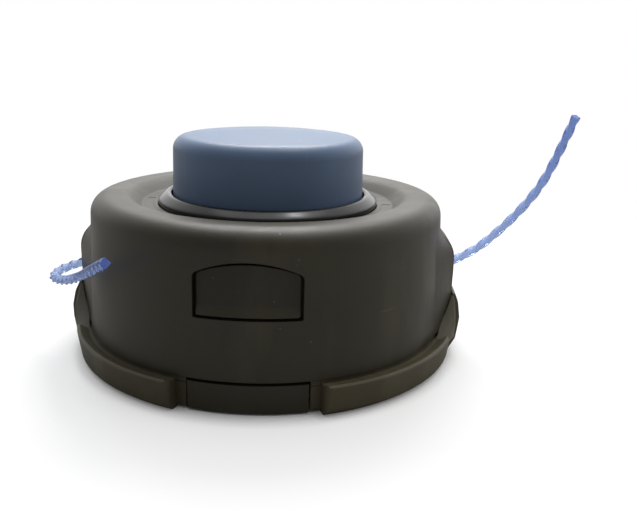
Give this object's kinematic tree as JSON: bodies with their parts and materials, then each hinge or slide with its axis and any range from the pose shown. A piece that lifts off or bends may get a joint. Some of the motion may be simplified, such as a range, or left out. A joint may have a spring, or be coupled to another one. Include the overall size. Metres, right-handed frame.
{
  "type": "trimmer head",
  "caption": "Round bump-feed trimmer head: drafted cup latched onto a drive base, sprung line spool with a tall bump knob, and cutting line leaving through side eyelets.",
  "frame": {"origin": "on the spin axis, in the plane of the base ring's lower edge", "axes": "+Z along the spin axis from the drive side to the bump knob, +X through the eyelets, -Y towards the front latch"},
  "size_m": [0.1803, 0.121, 0.0809],
  "materials": {
    "housing": "fine moulded texture",
    "base": "fine moulded texture",
    "latch": "fine moulded texture",
    "eyelet": "smooth",
    "spool": "semi-gloss",
    "knob": "satin",
    "line": "translucent",
    "steel": "zinc plated"
  },
  "bodies": {
    "body": {"housing": "housing", "base": "base", "drive_nut": "steel", "left_eyelet": "eyelet", "right_eyelet": "eyelet", "spring": "steel", "right_line": "line", "left_line": "line"},
    "washer": {"spring_seat": "steel"},
    "spool_group": {"spool": "spool", "knob": "knob", "winding": "line"},
    "front_latch_body": {"front_latch": "latch"},
    "rear_latch_body": {"rear_latch": "latch"}
  },
  "joints": [
    {"name": "bump_press", "type": "slide", "parent": "body", "child": "washer", "axis": [0, 0, -1], "range_m": [0, 0.007], "stiffness_N_per_m": 2500, "springref_m": -0.008, "deforming": ["spring"]},
    {"name": "spool_turn", "type": "hinge", "parent": "washer", "child": "spool_group", "pos_m": [0, 0, 0], "axis": [0, 0, -1], "range_deg": [0, 20]},
    {"name": "front_latch_press", "type": "hinge", "parent": "body", "child": "front_latch_body", "pos_m": [0, -0.053, 0.0042], "axis": [-1, 0, 0], "range_deg": [0, 6], "stiffness_Nm_per_rad": 6},
    {"name": "rear_latch_press", "type": "hinge", "parent": "body", "child": "rear_latch_body", "pos_m": [0, 0.053, 0.0042], "axis": [1, 0, 0], "range_deg": [0, 6], "stiffness_Nm_per_rad": 6}
  ]
}
